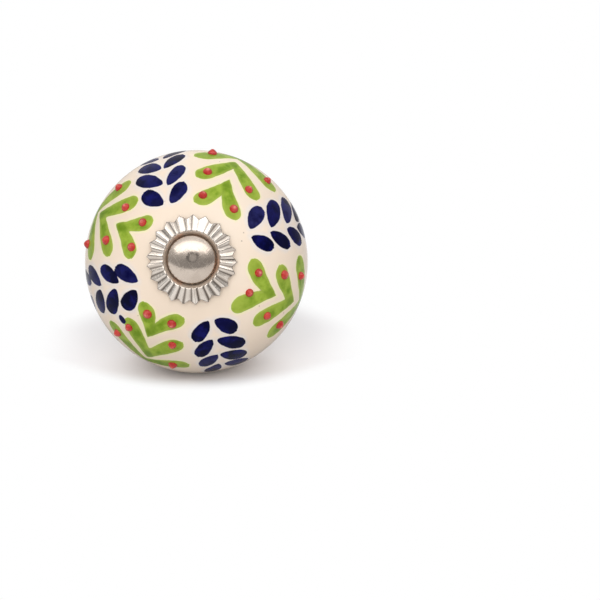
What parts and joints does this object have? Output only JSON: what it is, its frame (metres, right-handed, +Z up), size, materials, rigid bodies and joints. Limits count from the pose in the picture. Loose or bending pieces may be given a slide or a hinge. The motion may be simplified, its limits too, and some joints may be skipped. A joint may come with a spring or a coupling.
{
  "type": "cabinet knob",
  "caption": "Round glazed ceramic cabinet knob with a pressed metal cup, a pleated rosette under a domed bolt head, and a threaded bolt with washer and nuts.",
  "frame": {"origin": "on the knob's axis, at the flat of the back cup's crown, which draws up against the panel", "axes": "+Y along the axis towards the bolt's tip, so the face looks towards -Y; +Z is up as the knob is hung in the picture, +X to the right seen from the front"},
  "size_m": [0.04, 0.0702, 0.0401],
  "materials": {
    "glaze": "gloss",
    "red_enamel": "gloss",
    "cup_metal": "satin",
    "rosette_metal": "polished",
    "bolt_metal": "polished",
    "washer_metal": "polished",
    "nut_metal": "polished"
  },
  "bodies": {
    "root": {"ceramic_body": "glaze", "enamel_dots": "red_enamel", "back_cup": "cup_metal", "dome_bolt": "bolt_metal", "front_rosette": "rosette_metal", "washer": "washer_metal", "inner_nut": "nut_metal", "outer_nut": "nut_metal"}
  },
  "joints": []
}
